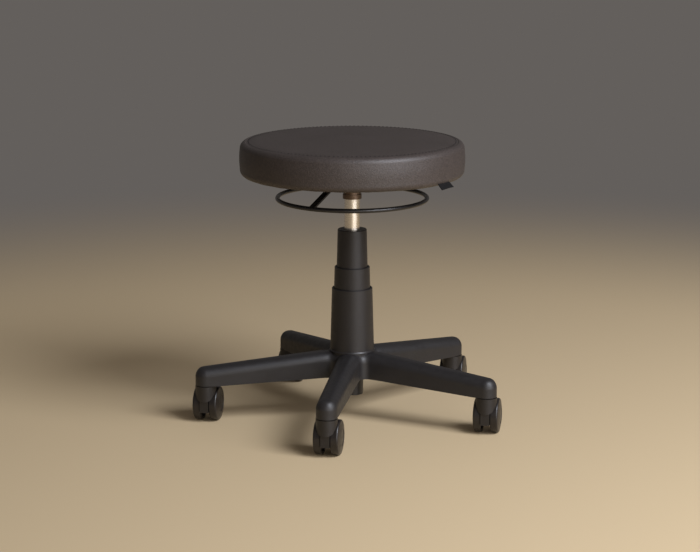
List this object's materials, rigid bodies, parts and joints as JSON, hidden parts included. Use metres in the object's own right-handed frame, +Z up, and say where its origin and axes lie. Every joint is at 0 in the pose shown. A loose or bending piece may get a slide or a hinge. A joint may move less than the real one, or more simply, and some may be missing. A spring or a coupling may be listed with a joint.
{
  "type": "stool",
  "caption": "Round upholstered swivel stool on a gas lift with a ring release, telescopic column cover and a star base on twin-wheel casters.",
  "frame": {"origin": "on the floor, on the axis of the column", "axes": "+Z up along the column, -Y towards the front of the picture, +X to its right"},
  "size_m": [0.5571, 0.5738, 0.5125],
  "materials": {
    "base_nylon": "moulded glass-filled nylon, fine grain",
    "cover_plastic": "moulded polypropylene, satin",
    "caster_nylon": "moulded nylon, satin",
    "wheel_nylon": "moulded nylon, semi-gloss",
    "bush_acetal": "turned acetal",
    "black_enamel": "black enamel, satin",
    "socket_steel": "dark bronze plating, satin",
    "lift_chrome": "warm satin chrome",
    "zinc_steel": "zinc plated",
    "stop_rubber": "moulded rubber",
    "seat_leather": "coated upholstery leather, fine grain",
    "tag_cloth": "woven tape, bare",
    "dust_cloth": "non-woven cloth",
    "plywood": "birch plywood, sanded",
    "foam": "open-cell polyurethane foam"
  },
  "bodies": {
    "base": {"base_star": "base_nylon", "stem_sleeves": "zinc_steel", "column_tube": "black_enamel", "column_end_plate": "zinc_steel", "guide_bush": "bush_acetal", "cover_lower": "cover_plastic"},
    "gas_rod": {"piston_rod": "zinc_steel", "gas_piston": "zinc_steel", "rod_clip": "zinc_steel", "thrust_bearing": "zinc_steel", "bump_stop": "stop_rubber"},
    "seat": {"lift_tube": "lift_chrome", "lift_gland": "bush_acetal", "lift_socket": "socket_steel", "fulcrum_pins": "zinc_steel", "seat_plate": "black_enamel", "seat_bolts": "zinc_steel", "seat_tee_nuts": "zinc_steel", "seat_board": "plywood", "seat_dust_cover": "dust_cloth", "seat_foam": "foam", "seat_side_band": "seat_leather", "seat_top_panel": "seat_leather", "seat_tag": "tag_cloth"},
    "release_ring": {"release_ring": "black_enamel", "release_bar": "black_enamel"},
    "release_pin": {"release_pin": "zinc_steel"},
    "cover_middle": {"cover_middle": "cover_plastic"},
    "cover_upper": {"cover_upper": "cover_plastic"},
    "caster_front": {"caster_hood_front": "caster_nylon", "caster_stem_front": "zinc_steel", "caster_axle_front": "zinc_steel"},
    "wheel_left_front": {"wheel_left_front": "wheel_nylon"},
    "wheel_right_front": {"wheel_right_front": "wheel_nylon"},
    "caster_right": {"caster_hood_right": "caster_nylon", "caster_stem_right": "zinc_steel", "caster_axle_right": "zinc_steel"},
    "wheel_left_right": {"wheel_left_right": "wheel_nylon"},
    "wheel_right_right": {"wheel_right_right": "wheel_nylon"},
    "caster_back_right": {"caster_hood_back_right": "caster_nylon", "caster_stem_back_right": "zinc_steel", "caster_axle_back_right": "zinc_steel"},
    "wheel_left_back_right": {"wheel_left_back_right": "wheel_nylon"},
    "wheel_right_back_right": {"wheel_right_back_right": "wheel_nylon"},
    "caster_back_left": {"caster_hood_back_left": "caster_nylon", "caster_stem_back_left": "zinc_steel", "caster_axle_back_left": "zinc_steel"},
    "wheel_left_back_left": {"wheel_left_back_left": "wheel_nylon"},
    "wheel_right_back_left": {"wheel_right_back_left": "wheel_nylon"},
    "caster_left": {"caster_hood_left": "caster_nylon", "caster_stem_left": "zinc_steel", "caster_axle_left": "zinc_steel"},
    "wheel_left_left": {"wheel_left_left": "wheel_nylon"},
    "wheel_right_left": {"wheel_right_left": "wheel_nylon"}
  },
  "joints": [
    {"name": "seat_swivel", "type": "hinge", "parent": "base", "child": "gas_rod", "pos_m": [0, 0, 0.05], "axis": [0, 0, 1], "continuous": true},
    {"name": "seat_lift", "type": "slide", "parent": "gas_rod", "child": "seat", "axis": [0, 0, 1], "range_m": [-0.045, 0.075]},
    {"name": "ring_tilt", "type": "hinge", "parent": "seat", "child": "release_ring", "pos_m": [-0.01051, -0.01619, 0.43655], "axis": [-0.8387, 0.5446, 0], "range_deg": [0, 8], "stiffness_Nm_per_rad": 4, "springref_deg": -11.46},
    {"name": "pin_press", "type": "slide", "parent": "seat", "child": "release_pin", "axis": [0, 0, -1], "range_m": [0, 0.003]},
    {"name": "cover_middle_slide", "type": "slide", "parent": "base", "child": "cover_middle", "axis": [0, 0, 1], "range_m": [-0.0369, 0]},
    {"name": "cover_upper_slide", "type": "slide", "parent": "cover_middle", "child": "cover_upper", "axis": [0, 0, 1], "range_m": [-0.067, 0]},
    {"name": "caster_swivel_front", "type": "hinge", "parent": "base", "child": "caster_front", "pos_m": [-0.04654, -0.26393, 0.0685], "axis": [0, 0, 1], "continuous": true},
    {"name": "wheel_left_spin_front", "type": "hinge", "parent": "caster_front", "child": "wheel_left_front", "pos_m": [-0.04321, -0.24828, 0.031], "axis": [0.9781, -0.2079, 0], "continuous": true},
    {"name": "wheel_right_spin_front", "type": "hinge", "parent": "caster_front", "child": "wheel_right_front", "pos_m": [-0.04321, -0.24828, 0.031], "axis": [0.9781, -0.2079, 0], "continuous": true},
    {"name": "caster_swivel_right", "type": "hinge", "parent": "base", "child": "caster_right", "pos_m": [0.23663, -0.12582, 0.0685], "axis": [0, 0, 1], "continuous": true},
    {"name": "wheel_left_spin_right", "type": "hinge", "parent": "caster_right", "child": "wheel_left_right", "pos_m": [0.23996, -0.11017, 0.031], "axis": [0.9781, -0.2079, 0], "continuous": true},
    {"name": "wheel_right_spin_right", "type": "hinge", "parent": "caster_right", "child": "wheel_right_right", "pos_m": [0.23996, -0.11017, 0.031], "axis": [0.9781, -0.2079, 0], "continuous": true},
    {"name": "caster_swivel_back_right", "type": "hinge", "parent": "base", "child": "caster_back_right", "pos_m": [0.19278, 0.18617, 0.0685], "axis": [0, 0, 1], "continuous": true},
    {"name": "wheel_left_spin_back_right", "type": "hinge", "parent": "caster_back_right", "child": "wheel_left_back_right", "pos_m": [0.19611, 0.20182, 0.031], "axis": [0.9781, -0.2079, 0], "continuous": true},
    {"name": "wheel_right_spin_back_right", "type": "hinge", "parent": "caster_back_right", "child": "wheel_right_back_right", "pos_m": [0.19611, 0.20182, 0.031], "axis": [0.9781, -0.2079, 0], "continuous": true},
    {"name": "caster_swivel_back_left", "type": "hinge", "parent": "base", "child": "caster_back_left", "pos_m": [-0.11748, 0.24088, 0.0685], "axis": [0, 0, 1], "continuous": true},
    {"name": "wheel_left_spin_back_left", "type": "hinge", "parent": "caster_back_left", "child": "wheel_left_back_left", "pos_m": [-0.11416, 0.25653, 0.031], "axis": [0.9781, -0.2079, 0], "continuous": true},
    {"name": "wheel_right_spin_back_left", "type": "hinge", "parent": "caster_back_left", "child": "wheel_right_back_left", "pos_m": [-0.11416, 0.25653, 0.031], "axis": [0.9781, -0.2079, 0], "continuous": true},
    {"name": "caster_swivel_left", "type": "hinge", "parent": "base", "child": "caster_left", "pos_m": [-0.26539, -0.0373, 0.0685], "axis": [0, 0, 1], "continuous": true},
    {"name": "wheel_left_spin_left", "type": "hinge", "parent": "caster_left", "child": "wheel_left_left", "pos_m": [-0.26206, -0.02165, 0.031], "axis": [0.9781, -0.2079, 0], "continuous": true},
    {"name": "wheel_right_spin_left", "type": "hinge", "parent": "caster_left", "child": "wheel_right_left", "pos_m": [-0.26206, -0.02165, 0.031], "axis": [0.9781, -0.2079, 0], "continuous": true}
  ],
  "couplings": [
    {"joint": "pin_press", "follows": "ring_tilt", "m_per_rad": 0.0205}
  ]
}
